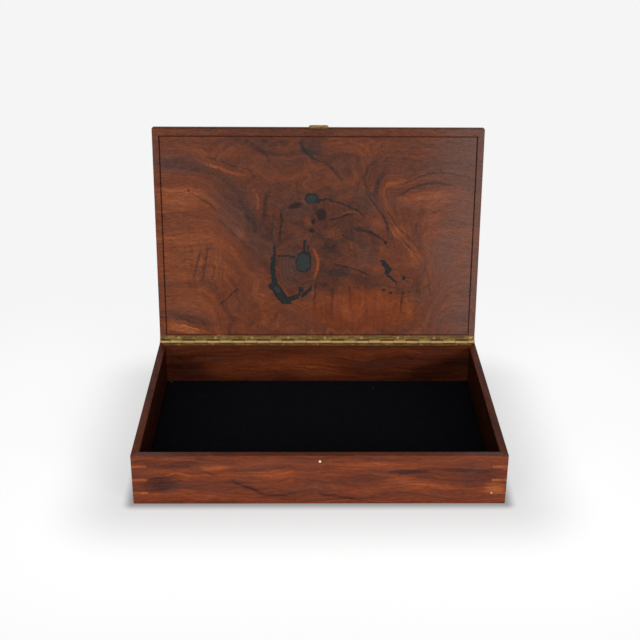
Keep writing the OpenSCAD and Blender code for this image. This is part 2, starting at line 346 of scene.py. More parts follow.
def marks(graph, u, v, mark, rows):
    """The sum of a mark for every row, in small node groups, which build faster."""
    def part(some):
        def make(inner, u, v):
            return total(mark(inner, u, v, *row) for row in some)

        return graph.group(mark.__name__, [u, v], make)

    starts = range(0, len(rows), MARKS_PER_GROUP)
    return total(part(rows[start:start + MARKS_PER_GROUP]) for start in starts)


def patch(graph, u, v, middle, radii, tone, turn=0):
    return graph.spot(u, v, middle, radii, turn) * tone


def streak(graph, u, v, places, half_width, tone):
    return graph.line(u, v, places, half_width) * tone


def void_line(graph, u, v, places, half_width):
    return graph.line(u, v, places, half_width * 1.15, 0.35, 0.12)


def void_spot(graph, u, v, middle, radii, turn):
    return graph.spot(u, v, middle, radii, turn, 0.25)


# Wood

WOOD_SCALE = [
    (0.00, (24, 13, 10)),
    (0.22, (54, 27, 18)),
    (0.42, (86, 42, 25)),
    (0.60, (114, 56, 29)),
    (0.80, (150, 77, 38)),
    (1.00, (198, 120, 68)),
]
DULL_SCALE = [(0.1, (40, 30, 28)), (0.9, (116, 84, 74))]
RED_SCALE = [(0.1, (56, 16, 10)), (0.9, (172, 78, 40))]
KEY_SCALE = [(0.1, (120, 58, 28)), (0.5, (160, 83, 43)), (0.9, (194, 114, 66))]
FELT_SCALE = [(0.2, (2, 2, 3)), (0.5, (6, 6, 8)), (0.9, (20, 20, 25))]

# Colours as on the screen, from 0 to 255
WOOD_PORE = (30, 14, 10)
WARM_WOOD = (128, 54, 24)
LID_PAINTED_SHEEN = (132, 116, 112)
WALL_HAZE = (92, 64, 58)
KNOT = (34, 14, 12)
KNOT_RING = (48, 36, 32)
RED_SPOT = (92, 30, 16)
MINERAL_DARK = (20, 29, 32)
MINERAL_PALE = (50, 60, 61)
VOID_RIM = (44, 26, 20)
GROOVE_SHADOW = (32, 12, 10)
LID_EDGE_SHADE = (26, 11, 8)
SHADE = (14, 3, 1)
KEY_SPECK = (240, 205, 160)
LINT_GREY = (170, 166, 160)
FELT_SHEEN = (120, 130, 160)
SLOT_SHADOW = (26, 16, 8)
BARREL_HIGHLIGHT = (214, 178, 118)

# Shades of brass: tarnished and rubbed. The screws' and the stud's are lighter, partly brass and partly
# painted glints.
PLAIN_BRASS = ((118, 90, 50), (186, 150, 96))
LEAF_BRASS = ((92, 70, 32), (172, 138, 78))
SCREW_BRASS_GLINT = ((130, 100, 54), (200, 166, 106))
STUD_BRASS_GLINT = ((150, 120, 80), (236, 206, 150))

# Depths from the lid's underside at which its marks are whole and gone
MARKS_WHOLE = 2.5
MARKS_GONE = 4.5

# Marks on the lid's underside. Places are millimetres right of the middle and
# millimetres from the pin line. A patch has a middle, radii, a tone and, if turned, an angle in degrees.
LID_PATCHES = [
    ((-5, 112), (74, 68), -0.22),
    ((0, 210), (130, 34), -0.12),
    # This broad lighter patch along the pin line is painted light on the lid's low end
    ((0, 20), (190, 50), 0.08),
    ((138, 100), (40, 84), 0.12),
    ((-140, 154), (34, 16), 0.19),
    ((-132, 90), (66, 86), 0.17),
    ((-100, 201), (62, 9), 0.13, -6),
    ((-82, 145), (22, 36), -0.15, 22),
    ((-61, 116), (20, 32), -0.14),
    ((-78, 115), (7, 9), 0.2),
    ((-62, 62), (18, 26), 0.12),
    ((-50, 205), (16, 16), -0.1),
    ((-8, 206), (14, 14), -0.24, -30),
    ((24, 185), (16, 18), -0.12, -40),
    ((50, 203), (40, 9), 0.12, 4),
    ((-18, 114), (12, 7), 0.2, 15),
    ((-10, 129), (6, 9), 0.2),
    ((16, 116), (13, 8), 0.22, -25),
    ((57, 95), (7, 15), -0.18, -10),
    ((12, 98), (16, 12), -0.14),
    ((22, 77), (14, 8), -0.22),
    ((6, 70), (12, 12), -0.16),
    ((48, 66), (24, 7), -0.12, -10),
    ((58, 128), (14, 6), 0.14, -20),
    ((44, 150), (16, 14), -0.16, -40),
    ((82, 118), (10, 9), 0.16, -40),
    ((84, 138), (12, 14), -0.1),
    ((108, 152), (36, 13), 0.19, 8),
    ((114, 132), (14, 12), 0.12),
    ((58, 178), (16, 18), -0.12, 10),
    ((78, 168), (16, 4), 0.16, 6),
    ((98, 92), (12, 16), 0.12, -35),
    ((104, 58), (8, 14), -0.16),
    ((60, 34), (52, 22), 0.08),
    ((24, 42), (16, 20), 0.06),
    ((-142, 14), (24, 5), 0.3, -14),
    ((-128, 24), (30, 5), -0.2, -14),
]

# Upright flames across the grain, with a strength in place of the tone
LID_FLAMES = [
    ((40, 34), (66, 36), 1.0),
    ((100, 118), (22, 30), 1.0),
    ((-114, 84), (40, 40), 1.0),
]

# Dull violet patches, with a share of grey in place of the tone
LID_DULL = [
    ((-140, 188), (44, 14), 0.55),
    ((-84, 140), (26, 44), 0.45, 20),
    ((-56, 108), (22, 28), 0.4),
    ((-10, 204), (18, 14), 0.45, -30),
    ((-28, 78), (16, 26), 0.75),
    ((24, 76), (16, 9), 0.6),
    ((50, 96), (14, 18), 0.45),
    ((48, 152), (22, 14), 0.4, -40),
    ((118, 184), (50, 8), 0.3),
    ((142, 200), (30, 30), 0.35),
    ((128, 96), (16, 34), 0.5),
    ((-134, 30), (34, 14), 0.4, -14),
    ((-22, 142), (24, 13), 0.55, 10),
]

# Lines: places along them, half width, tone
LID_LINES = [
    ([(-162, 187), (-140, 188), (-118, 184), (-105, 180), (-92, 171), (-80, 158), (-72, 142)], 7.0, -0.16),
    ([(-80, 160), (-72, 142), (-68, 128), (-65, 112)], 7.0, -0.12),
    ([(-120, 189), (-100, 184), (-84, 178), (-68, 176)], 2.4, 0.26),
    ([(-116, 196), (-98, 190), (-82, 185), (-70, 182), (-63, 174), (-56, 165)], 1.0, -0.3),
    ([(-130, 160), (-118, 152), (-105, 143), (-99, 130), (-90, 120), (-80, 111), (-70, 101)], 1.5, -0.24),
    ([(-48, 163), (-53, 151), (-54, 140), (-55, 128)], 3.0, -0.26),
    ([(-62, 160), (-61, 150), (-62, 138)], 1.5, 0.24),
    ([(-76, 212), (-64, 206), (-54, 198), (-46, 188)], 4.0, -0.18),
    ([(-16, 216), (-17, 208), (-13, 200), (-4, 193), (6, 189), (14, 183), (20, 176), (26, 166)],
     3.4, -0.28),
    ([(66, 193), (56, 190), (49, 183), (46, 174), (48, 165), (55, 156), (62, 148)], 2.8, -0.26),
    ([(72, 180), (62, 173), (58, 164), (57, 154)], 2.8, -0.24),
    ([(76, 151), (84, 158), (92, 163), (105, 167), (118, 169), (130, 167), (142, 163)], 1.9, -0.3),
    ([(72, 166), (85, 168), (95, 172), (105, 176), (118, 179), (135, 178), (152, 175)], 1.4, -0.26),
    ([(41, 166), (50, 157), (56, 148), (62, 140), (68, 131), (70, 124), (71, 114)], 1.5, -0.36),
    ([(68, 144), (74, 134), (80, 125), (88, 116), (98, 106), (106, 97)], 1.6, -0.24),
    ([(64, 146), (72, 134), (78, 124), (86, 114), (96, 103), (104, 92), (110, 80)], 1.1, 0.15),
    ([(72, 128), (76, 118), (86, 108), (94, 98), (98, 88)], 1.1, 0.26),
    ([(84, 110), (94, 102), (102, 95)], 1.2, -0.2),
    ([(104, 98), (109, 86), (112, 72), (114, 58), (115, 46)], 1.3, 0.12),
    ([(108, 88), (112, 74), (115, 60), (116, 48)], 1.4, -0.24),
    ([(10, 151), (20, 149), (30, 145), (40, 140), (48, 133)], 1.6, -0.46),
    ([(10, 131), (18, 132), (27, 135), (36, 137)], 1.6, -0.44),
    ([(14, 126), (22, 133), (32, 139), (46, 137)], 1.2, 0.26),
    ([(36, 122), (46, 120), (55, 117), (62, 113), (69, 107)], 2.6, -0.44),
    ([(24, 116), (28, 113), (32, 110)], 1.2, -0.6),
    ([(16, 125), (24, 117), (32, 108), (36, 98)], 1.6, 0.24),
    ([(-38, 142), (-37, 132), (-38, 120), (-40, 106)], 1.7, -0.42),
    ([(-44, 140), (-46, 126), (-47, 108)], 1.6, -0.2),
    ([(14, 85), (26, 82), (36, 79), (46, 76), (56, 71)], 1.2, -0.36),
    ([(-8, 104), (-2, 95), (0, 85), (-2, 74), (-6, 64)], 2.2, 0.36),
    ([(-3, 66), (-3, 50), (-4, 36)], 1.6, -0.3),
    ([(16, 60), (15, 46), (13, 30)], 2.4, -0.24),
    ([(32, 64), (33, 50), (34, 32)], 2.0, -0.24),
    ([(88, 58), (87, 44), (86, 30)], 2.0, -0.3),
    ([(-104, 38), (-98, 44), (-91, 50), (-81, 59)], 1.2, -0.5),
    ([(-128, 66), (-124, 82), (-119, 102)], 1.6, -0.26),
    ([(-119, 64), (-116, 82), (-112, 104)], 1.6, -0.3),
    ([(-109, 66), (-105, 84)], 1.4, -0.24),
    ([(-158, 22), (-136, 17), (-112, 9), (-88, 5)], 1.4, 0.3),
]

# Black voids that the burl left: lines with half widths, and ellipses with radii and a turn
VOID_LINES = [
    ([(-45.5, 105), (-44.6, 98), (-43.8, 90)], 1.4),
    ([(-44.5, 93), (-46, 85), (-46, 77), (-45.4, 69), (-44, 59)], 2.7),
    ([(-46.5, 64), (-43, 58), (-39, 51.5), (-35, 46), (-31, 40)], 5.6),
    ([(-38, 46), (-31, 46.6), (-25, 48), (-20.5, 50.5), (-17, 57)], 2.6),
    ([(-17, 50.5), (-12, 53.5), (-6, 60)], 2.4),
    ([(-13.6, 110), (-13.9, 104), (-13.6, 97)], 0.9),
    ([(-10.6, 105), (-10.0, 99), (-8.6, 92)], 0.9),
    ([(-43, 91.5), (-37, 93.4), (-30, 92.6), (-22, 91)], 0.8),
    ([(-4, 152), (3, 151), (8, 151.6), (14, 150.6)], 1.3),
    ([(64.5, 89), (69, 84), (71.5, 79), (71.8, 73)], 3.0),
    ([(70, 74), (74, 70), (77.5, 67.5), (82, 63)], 1.9),
]
VOID_SPOTS = [
    ((-14.6, 86.5), (9.0, 12.5), -8),
    ((-17.6, 57), (3.2, 3.6), 0),
    ((-6.4, 153), (7.5, 5.4), -12),
    ((-1.5, 151), (5.0, 3.0), -30),
    ((72.5, 78), (3.0, 4.2), 20),
    ((88.5, 69.6), (2.6, 2.8), 0),
]
VOID_SHEENS = [
    ((-15.2, 86), (7.4, 10.6), -8),
    ((-6.4, 153), (5.4, 3.8), -12),
    ((-42, 57), (2.4, 4.0), 40),
]

# Dark red knots: middle, radii, turn, softness
LID_KNOTS = [
    ((3.4, 136.5), (6.6, 8.4), 8, 0.5),
    ((-4.6, 129), (2.6, 3.6), 0, 0.6),
    ((-6.5, 119.6), (4.0, 2.6), -10, 0.6),
    ((-23, 145.5), (10, 4.2), 12, 1.0),
    ((69, 107), (2.6, 2.6), 0, 0.9),
    ((68, 57), (3.0, 2.4), 0, 0.9),
    ((75.5, 53.5), (2.4, 2.6), 0, 0.9),
    ((-129.5, 160), (1.1, 2.0), 0, 0.9),
]

# Sides of the burl, right of the middle, at shares of the way from the pin line to the lid's front
BURL_LEFT = [(0.0, -100), (0.2, -86), (0.4, -74), (0.6, -78), (0.75, -84), (0.85, -92), (1.0, -96)]
BURL_RIGHT = [(0.0, 118), (0.33, 114), (0.45, 103), (0.56, 82), (0.67, 62), (0.78, 50), (1.0, 48)]


def lid_place(graph):
    """Distances right of the middle, along the lid from the pin, and into it from its underside."""
    x, y, z = graph.place()
    along = (y - pin.y) * lid_up.y + (z - pin.z) * lid_up.z
    into = (y - pin.y) * lid_back.y + (z - pin.z) * lid_back.z - PIN_LIFT
    return x, along, into


def lid_grain(graph, u, s, into):
    """A number that is level along the lid's grain, which dives on both sides of the burl."""
    slow = graph.noise(u / 55, s / 45, into / 50, detail=1.0)
    share = s / lid_len
    left = (u - graph.curve(share, BURL_LEFT)) / 38
    right = (graph.curve(share, BURL_RIGHT) - u) / 22
    inside = graph.step(left, -1.0, 1.0) * graph.step(right, -1.0, 1.0) * graph.step(s, 214, 180)
    swirl = graph.noise(u / 24, s / 20, into / 40 + 7, detail=1.0)
    curl = graph.noise(u / 11, s / 9, into / 30 + 3, detail=1.0)
    return s + slow * 22 + inside * (swirl * 60 + curl * 16 + 70) + curl * 4


def groove_shade(graph, u, s, into):
    """1 in the line cut round the lid's underside, where the shade inside the groove is painted darker."""
    half = GROOVE_W / 2 + 0.05
    blur = 0.25
    side = graph.math("ABSOLUTE", u) - (lid_half_w - GROOVE_SIDE)
    front = s - (lid_len - GROOVE_FRONT)
    outside = graph.math("MAXIMUM", graph.math("MAXIMUM", side, front), GROOVE_BACK - s)
    nearest = graph.math("ABSOLUTE", outside)
    return graph.step(nearest, half + blur, half) * graph.step(into, 3.0, 2.0)


def lid_tone(graph, place, wavy, grain, under):
    """How light the lid's wood is, and its fine fibre."""
    u, s, into = place
    broad = graph.noise(grain / 13, u / 260, s / 260)
    narrow = graph.noise(grain / 3.4, u / 60, s / 60 + 5, roughness=0.6)
    fibre = graph.noise(grain / 1.3, u / 9, s / 9, roughness=0.6)
    mottle = graph.noise(u / 2.4, s / 2.4, into / 2, detail=3.0, roughness=0.65)
    flame = graph.noise(u / 3.2, s / 22, into / 30)
    flames = marks(graph, *wavy, patch, LID_FLAMES)
    patches = marks(graph, *wavy, patch, LID_PATCHES)
    lines = marks(graph, *wavy, streak, LID_LINES)
    tone = broad * 0.45 + narrow * 0.28 + fibre * 0.50 + mottle * 0.22 + 0.55
    tone = tone + flame * flames * 0.40 + (patches * 0.75 + lines * 0.8) * under
    return tone, fibre


def lid_colour(graph, place, wavy, tone, under):
    """The wood's colour, dull or warm in places, under a painted grey sheen that grows toward the right,
    and the fine grain of that sheen.
    """
    u, s, into = place
    colour = graph.ramp(tone, WOOD_SCALE)
    dull = marks(graph, *wavy, patch, LID_DULL)
    dull = dull * under * 0.6 + graph.noise(u / 34, s / 20, 31.0) * 0.5 + 0.06
    colour = graph.mix(dull, colour, graph.ramp(tone, DULL_SCALE))
    veil = graph.noise(u / 1.5, s / 1.5, into, roughness=0.7)
    warm = graph.spot(*wavy, (46, 34), (64, 28)) * under
    colour = graph.mix(warm * 0.4, colour, WARM_WOOD)
    # Painted sheen: a grey reflection laid over the wood, strongest toward the right
    painted_sheen = veil * 0.5 + graph.noise(u / 6, s / 4, 41.0, detail=3.0) * 0.35 + graph.step(u, 80, 170) * 0.25
    return graph.mix(painted_sheen - warm * 0.2 + 0.02, colour, LID_PAINTED_SHEEN), veil


def with_knots(graph, colour, wavy, jitter, under):
    """Adds the dark knots, the rings of the large one and a red spot below it."""
    knots = marks(graph, *wavy, Graph.spot, LID_KNOTS) * under
    colour = graph.mix(knots * 0.95, colour, KNOT)
    rings = graph.math("SQRT", graph.spread(*wavy, (-18, 84), (8, 11.5), -8))
    ring_zone = graph.spot(*wavy, (-27, 76), (20, 32), 0, 0.4) * under
    arcs = graph.math("SINE", rings * 14 + jitter * 14) * ring_zone
    colour = graph.mix(graph.step(arcs, 0.0, 1.0) * 0.3, colour, KNOT_RING)
    red_spot = graph.spot(*wavy, (-28, 54), (6, 4), -20, 0.8) * under
    return graph.mix(red_spot * 0.6, colour, RED_SPOT)


def with_voids(graph, colour, place, jitter, veil, under):
    """Adds the black voids, with a mineral grey in the wide ones. Returns their share too."""
    u, s, _ = place
    rough = [
        value + shift * 6 + graph.noise(u / 2.2, s / 2.2, seed, detail=2.0) * 2.6
        for value, shift, seed in zip((u, s), jitter, (21.0, 27.0))
    ]
    void_lines = marks(graph, *rough, void_line, VOID_LINES)
    void_spots = marks(graph, *rough, void_spot, VOID_SPOTS)
    voids = (void_lines + void_spots) * under
    sheen = marks(graph, *rough, void_spot, VOID_SHEENS)
    mottled = graph.noise(u / 3, s / 3, 51.0, detail=3.0) * 1.8 + veil * 0.8 + 0.05
    deep = graph.step(voids, 0.5, 1.0)
    pale = (mottled + graph.step(sheen, 0.0, 0.8) * 0.7) * deep
    mineral = graph.mix(pale, MINERAL_DARK, MINERAL_PALE)
    ragged = graph.noise(u / 2.6, s / 2.6, 61.0, detail=3.0, roughness=0.7) * graph.step(voids, 0.0, 0.3)
    black = graph.step(voids + ragged * 1.1, 0.15, 0.6)
    colour = graph.mix(graph.step(voids, 0.0, 0.35) * 0.45, colour, VOID_RIM)
    return graph.mix(black * 0.92, colour, mineral), black


def lid_wood(graph):
    place = lid_place(graph)
    u, s, into = place
    grain = lid_grain(graph, u, s, into)
    under = graph.step(into, MARKS_GONE, MARKS_WHOLE)
    jitter = [graph.noise(u / 7, s / 7, seed, detail=3.0, roughness=0.6) for seed in (4.0, 14.0)]
    wavy = (u + jitter[0] * 5, s + jitter[1] * 5)

    tone, fibre = lid_tone(graph, place, wavy, grain, under)
    colour, veil = lid_colour(graph, place, wavy, tone, under)
    colour = with_knots(graph, colour, wavy, jitter[0], under)
    colour, black = with_voids(graph, colour, place, jitter, veil, under)

    pores = graph.step(graph.noise(grain / 0.8, u / 4, s / 4, detail=1.0), 0.12, 0.25)
    colour = graph.mix(pores * 0.6, colour, WOOD_PORE)
    groove = groove_shade(graph, u, s, into)
    # Painted shade in the groove cut round the underside
    colour = graph.mix(groove * 0.5, colour, GROOVE_SHADOW)
    # Painted shade darkens the underside along the lid's front edge
    edge = graph.step(s, lid_len - 1.2, lid_len - 0.6) * under
    colour = graph.mix(edge * 0.35, colour, LID_EDGE_SHADE)
    roughness = veil * 0.3 + black * 0.2 + groove * 0.4 + edge * 0.4 + 0.44
    graph.finish(colour, roughness, 0.2, Normal=graph.bump(fibre * 0.5 - pores * 0.7, 0.12))


# Patches on the front wall and on the back wall's inner face
FRONT_PATCHES = [
    ((140, 33), (30, 10), -0.1),
    ((-150, 41), (22, 7), -0.12),
    ((-140, 21), (22, 11), -0.3),
    ((-120, 40), (28, 5), -0.2, 10),
    ((-100, 33), (14, 3), -0.16, -30),
    ((-92, 37), (18, 5), 0.24, 8),
    ((-130, 34), (40, 3), 0.1, 4),
    ((-52, 44), (28, 4), 0.14, 4),
    ((-40, 30), (26, 7), 0.16),
    ((-62, 17), (22, 1.8), -0.28, -24),
    ((-30, 11), (30, 1.8), -0.22, 8),
    ((18, 8), (34, 2.0), -0.26, -12),
    ((78, 33), (22, 3.4), -0.34, 2),
    ((72, 25), (16, 5), 0.24),
    ((40, 39), (36, 5), 0.14, 4),
    ((100, 20), (34, 8), 0.12),
    ((122, 35), (44, 2.6), -0.22, -3),
    ((155, 17), (14, 9), 0.34),
    ((38, 27), (26, 5), -0.12),
    ((-20, 20), (40, 5), 0.08),
    ((40, 12), (20, 5), 0.12),
]
# The back wall's darker ends by the corners are partly darker wood and partly painted shade
BACK_GRAIN_AND_SHADE = [
    ((-80, 24), (50, 14), 0.16),
    ((-10, 26), (50, 16), 0.24, -6),
    ((-140, 24), (36, 18), -0.2),
    ((128, 24), (50, 12), -0.24, 14),
    ((100, 44), (60, 6), 0.06),
]


def inside_shade(graph, x, y):
    """1 on the walls' inner faces. It paints in the shade that the photograph shows inside the box."""
    blur = 0.6
    side_at = body_high.x - side_wall_t
    back_at = body_high.y - back_wall_t
    front_at = body_low.y + front_wall_t
    side = graph.step(graph.math("ABSOLUTE", x), side_at + blur, side_at)
    back = graph.step(y, back_at + blur, back_at)
    front = graph.step(y, front_at - blur, front_at)
    return side * back * front


def wall_wood(graph, along_axis, seed, patches, base, red, inner, rim, gloss):
    """Straight-grained wood along x (0) or y (1), with shade painted on its inner face and its rim."""
    x, y, z = graph.place()
    along, through = (x, y) if along_axis == 0 else (y, x)
    wander = graph.noise(along / 70, z / 30, through / 30 + seed)
    ripple = graph.noise(along / 24, z / 8, through / 12 + seed)
    grain = z + through * 0.35 + wander * 20 + ripple * 5
    broad = graph.noise(grain / 7, along / 180, seed + 0.5)
    narrow = graph.noise(grain / 2.0, along / 44, seed + 1.5, detail=3.0, roughness=0.65)
    fibre = graph.noise(grain / 0.9, along / 10, through / 4, roughness=0.6)
    mottle = graph.noise(along / 3.5, z / 1.4, through / 2 + seed, roughness=0.6)
    tone = broad * 0.7 + narrow * 0.75 + fibre * 0.45 + mottle * 0.3 + base
    if patches:
        tone = tone + marks(graph, along + ripple * 14, z + wander * 5 + ripple * 3, patch, patches)
    colour = graph.ramp(tone, WOOD_SCALE)
    colour = graph.mix(red, colour, graph.ramp(tone, RED_SCALE))
    veil = graph.noise(along / 4, z / 1.2, through + seed, roughness=0.7)
    dull = graph.noise(along / 40, z / 12, seed + 31.0, detail=1.0) * 0.8 + veil * 0.5
    colour = graph.mix(dull + 0.06, colour, WALL_HAZE)
    pores = graph.step(graph.noise(grain / 0.6, along / 5, through / 2, detail=1.0), 0.15, 0.27)
    colour = graph.mix(pores * 0.5, colour, WOOD_PORE)
    colour = graph.mix(inside_shade(graph, x, y) * inner, colour, SHADE)
    colour = graph.mix(graph.step(z, body_high.z - 0.5, body_high.z - 0.1) * rim, colour, SHADE)
    graph.finish(colour, veil * 0.3 + 0.44, gloss, Normal=graph.bump(fibre * 0.5 - pores * 0.7, 0.1))


def key_wood(graph):
    """Paler wood, with the bright speck that the photograph shows low on the right."""
    x, y, z = graph.place()
    fibre = graph.noise(x / 5, y / 5, z / 0.6, detail=3.0, roughness=0.6)
    slow = graph.noise(x / 8, y / 8, z / 9)
    colour = graph.ramp(fibre * 0.8 + slow * 0.8 + 0.5, KEY_SCALE)
    speck = graph.spot(x, z, (151.6, 11.3), (1.5, 1.3), 0, 0.6) * graph.step(y, -100, -110)
    colour = graph.mix(speck, colour, KEY_SPECK)
    graph.finish(colour, fibre * 0.2 + 0.48, 0.22)


def panel_wood(graph):
    x, y, z = graph.place()
    grain = y + graph.noise(x / 80, y / 30, z / 10) * 16
    bands = graph.noise(grain / 5, x / 160, z / 3, detail=3.0, roughness=0.6)
    fibre = graph.noise(grain / 0.7, x / 14, z)
    colour = graph.ramp(bands * 0.9 + fibre * 0.4 + 0.45, WOOD_SCALE)
    graph.finish(colour, fibre * 0.2 + 0.6, 0.25)


# Specks of lint on the felt, with a brightness in place of the tone
LINT = [
    ((-153, 96), (0.8, 0.6), 0.9),
    ((58, 82), (0.9, 0.7), 0.35, 30),
    ((-118, 66), (0.6, 0.5), 0.18),
    ((-108, -34), (0.6, 0.4), 0.12, 30),
    ((8, 60), (0.8, 0.5), 0.12),
    ((-20, -70), (0.6, 0.5), 0.15),
    ((96, 12), (0.5, 0.4), 0.12),
]


def felt_cloth(graph):
    x, y, z = graph.place()
    fuzz = graph.noise(x / 0.6, y / 0.6, z / 0.6, detail=4.0, roughness=0.75)
    clump = graph.noise(x / 5, y / 5, z / 4, detail=3.0, roughness=0.65)
    strand = graph.noise(x / 7, y / 0.5, 3.0) + graph.noise(x / 0.5, y / 7, 8.0)
    colour = graph.ramp(fuzz * 0.9 + clump * 0.6 + strand * 0.3 + 0.5, FELT_SCALE)
    colour = graph.mix(marks(graph, x, y, patch, LINT), colour, LINT_GREY)
    sheen = {"Sheen_Weight": 0.03, "Sheen_Roughness": 0.6, "Sheen_Tint": linear(FELT_SHEEN)}
    graph.finish(colour, 0.95, 0.05, Normal=graph.bump(fuzz + clump * 0.6, 0.35), **sheen)


def brass(name, worn, shades=PLAIN_BRASS):
    """Aged brass. worn is how much of it is rubbed bright."""
    return material(name, lambda graph: lay_brass(graph, worn, shades))


def lay_brass(graph, worn, shades, highlight=0.0, slot_shade=0.0):
    """highlight is how much a painted highlight lightens a spot, slot_shade how much painted shadow darkens
    it.
    """
    dark, bright = shades
    x, y, z = graph.place()
    stain = graph.noise(x / 9, y / 3, z / 3, detail=4.0, roughness=0.65)
    speck = graph.noise(x / 0.7, y / 0.7, z / 0.7, detail=3.0)
    tarnish = graph.step(stain + speck * 0.5, worn * 0.5 - 0.5, worn * 0.5 - 0.1)
    colour = graph.mix(highlight, graph.mix(tarnish, bright, dark), BARREL_HIGHLIGHT)
    graph.finish(
        graph.mix(slot_shade, colour, SLOT_SHADOW),
        tarnish * 0.2 + speck * 0.15 + 0.38,
        Metallic=0.75 - tarnish * 0.3,
        Normal=graph.bump(speck * 0.3 + stain * 0.4, 0.05),
    )


# Mesh making

def placed(name, data):
    """A new object in the scene."""
    made = bpy.data.objects.new(name, data)
    bpy.context.scene.collection.objects.link(made)
    return made


def coat(mesh, surface):
    mesh.materials.clear()
    mesh.materials.append(surface)


def new_object(name, mesh, surface):
    coat(mesh, surface)
    return placed(name, mesh)


def rework(mesh, work):
    shape = bmesh.new()
    shape.from_mesh(mesh)
    work(shape)
    shape.to_mesh(mesh)
    shape.free()


def mesh_from(name, points, faces, matrix=None):
    """A mesh from points in millimetres, moved by matrix and written in metres."""
    matrix = matrix or Matrix.Identity(4)
    mesh = bpy.data.meshes.new(name)
    mesh.from_pydata([(matrix @ Vector(point)) * MM for point in points], [], faces)
    rework(mesh, lambda shape: bmesh.ops.recalc_face_normals(shape, faces=shape.faces))
    return mesh


def shifted(ring):
    """A closed ring of point numbers, from its second one."""
    return ring[1:] + ring[:1]


def loft(name, rings, matrix=None):
    """A closed mesh through rings of points, capped at both ends."""
    count = len(rings[0])
    points = [point for ring in rings for point in ring]
    levels = [list(range(start, start + count)) for start in range(0, len(points), count)]
    faces = []
    for here, above in zip(levels, levels[1:]):
        faces += zip(here, shifted(here), shifted(above), above)
    return mesh_from(name, points, faces + [levels[0], levels[-1]], matrix)


def rounded_outline(low, high, radii, inset=0.0):
    """A rectangle with rounded corners, from the low corner, anticlockwise."""
    points = []
    corners = [
        ((low[0], low[1]), (1, 1), 180),
        ((high[0], low[1]), (-1, 1), 270),
        ((high[0], high[1]), (-1, -1), 0),
        ((low[0], high[1]), (1, -1), 90),
    ]
    for ((x, y), (sx, sy), start), radius in zip(corners, radii):
        radius = max(radius, inset + 0.01)
        turn = radius - inset
        middle_x, middle_y = x + sx * radius, y + sy * radius
        for step in range(ROUND_STEPS + 1):
            angle = math.radians(start + 90 * step / ROUND_STEPS)
            points.append((middle_x + turn * math.cos(angle), middle_y + turn * math.sin(angle)))
    return points


QUARTER = [math.radians(90 * step / ROUND_STEPS) for step in range(ROUND_STEPS + 1)]


def eased_block(name, low, high, radii, ease, matrix=None):
    """A block with rounded upright corners and quarter-round edges above and below."""
    levels = [(low[2] + ease * (1 - math.cos(t)), ease * (1 - math.sin(t))) for t in QUARTER]
    levels += [(low[2] + high[2] - z, inset) for z, inset in reversed(levels)]
    rings = [
        [(x, y, z) for x, y in rounded_outline(low, high, radii, inset)]
        for z, inset in levels
    ]
    return loft(name, rings, matrix)


def flared_core(name, low, high, ease):
    """A core that opens outward at its top, and so eases the edge that it cuts."""
    levels = [(low[2], 0.0)]
    levels += [(high[2] - ease * (1 - math.sin(t)), ease * (1 - math.cos(t))) for t in QUARTER]
    levels += [(high[2] + 1, ease)]
    rings = []
    for z, outset in levels:
        x0, y0 = low[0] - outset, low[1] - outset
        x1, y1 = high[0] + outset, high[1] + outset
        rings.append([(x0, y0, z), (x1, y0, z), (x1, y1, z), (x0, y1, z)])
    return loft(name, rings)


tools = []


def tool_object(mesh):
    """A mesh that only cuts others, until remove_tools."""
    tool = placed(mesh.name, mesh)
    tools.append(tool)
    return tool


def remove_tools():
    for tool in tools:
        bpy.data.objects.remove(tool)
    tools.clear()


def shaped(piece, cuts):
    """Applies booleans, each an operation and a tool."""
    for operation, tool in cuts:
        modifier = piece.modifiers.new("cut", "BOOLEAN")
        modifier.operation = operation
        modifier.solver = "EXACT"
        modifier.object = tool
    graph = bpy.context.evaluated_depsgraph_get()
    mesh = bpy.data.meshes.new_from_object(piece.evaluated_get(graph))
    mesh.name = piece.name
    old = piece.data
    piece.modifiers.clear()
    piece.data = mesh
    bpy.data.meshes.remove(old)


def soften_normals(piece):
    """Smooth rounded edges beside flat faces that stay flat."""
    for face in piece.data.polygons:
        face.use_smooth = True
    weights = piece.modifiers.new("normals", "WEIGHTED_NORMAL")
    weights.mode = "FACE_AREA"
    weights.weight = 100


def eased_copy(node, surface, cuts):
    """Stands for a CAD node: the same mesh with its edges eased by the cuts."""
    mesh = frame["nodes"][node].data.copy()
    piece = new_object("eased_" + node, mesh, surface)
    piece.matrix_world = frame["nodes"][node].matrix_world.copy()
    rework(mesh, lambda shape: bmesh.ops.remove_doubles(shape, verts=shape.verts, dist=1e-6))
    shaped(piece, cuts)
    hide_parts(node)
    return piece


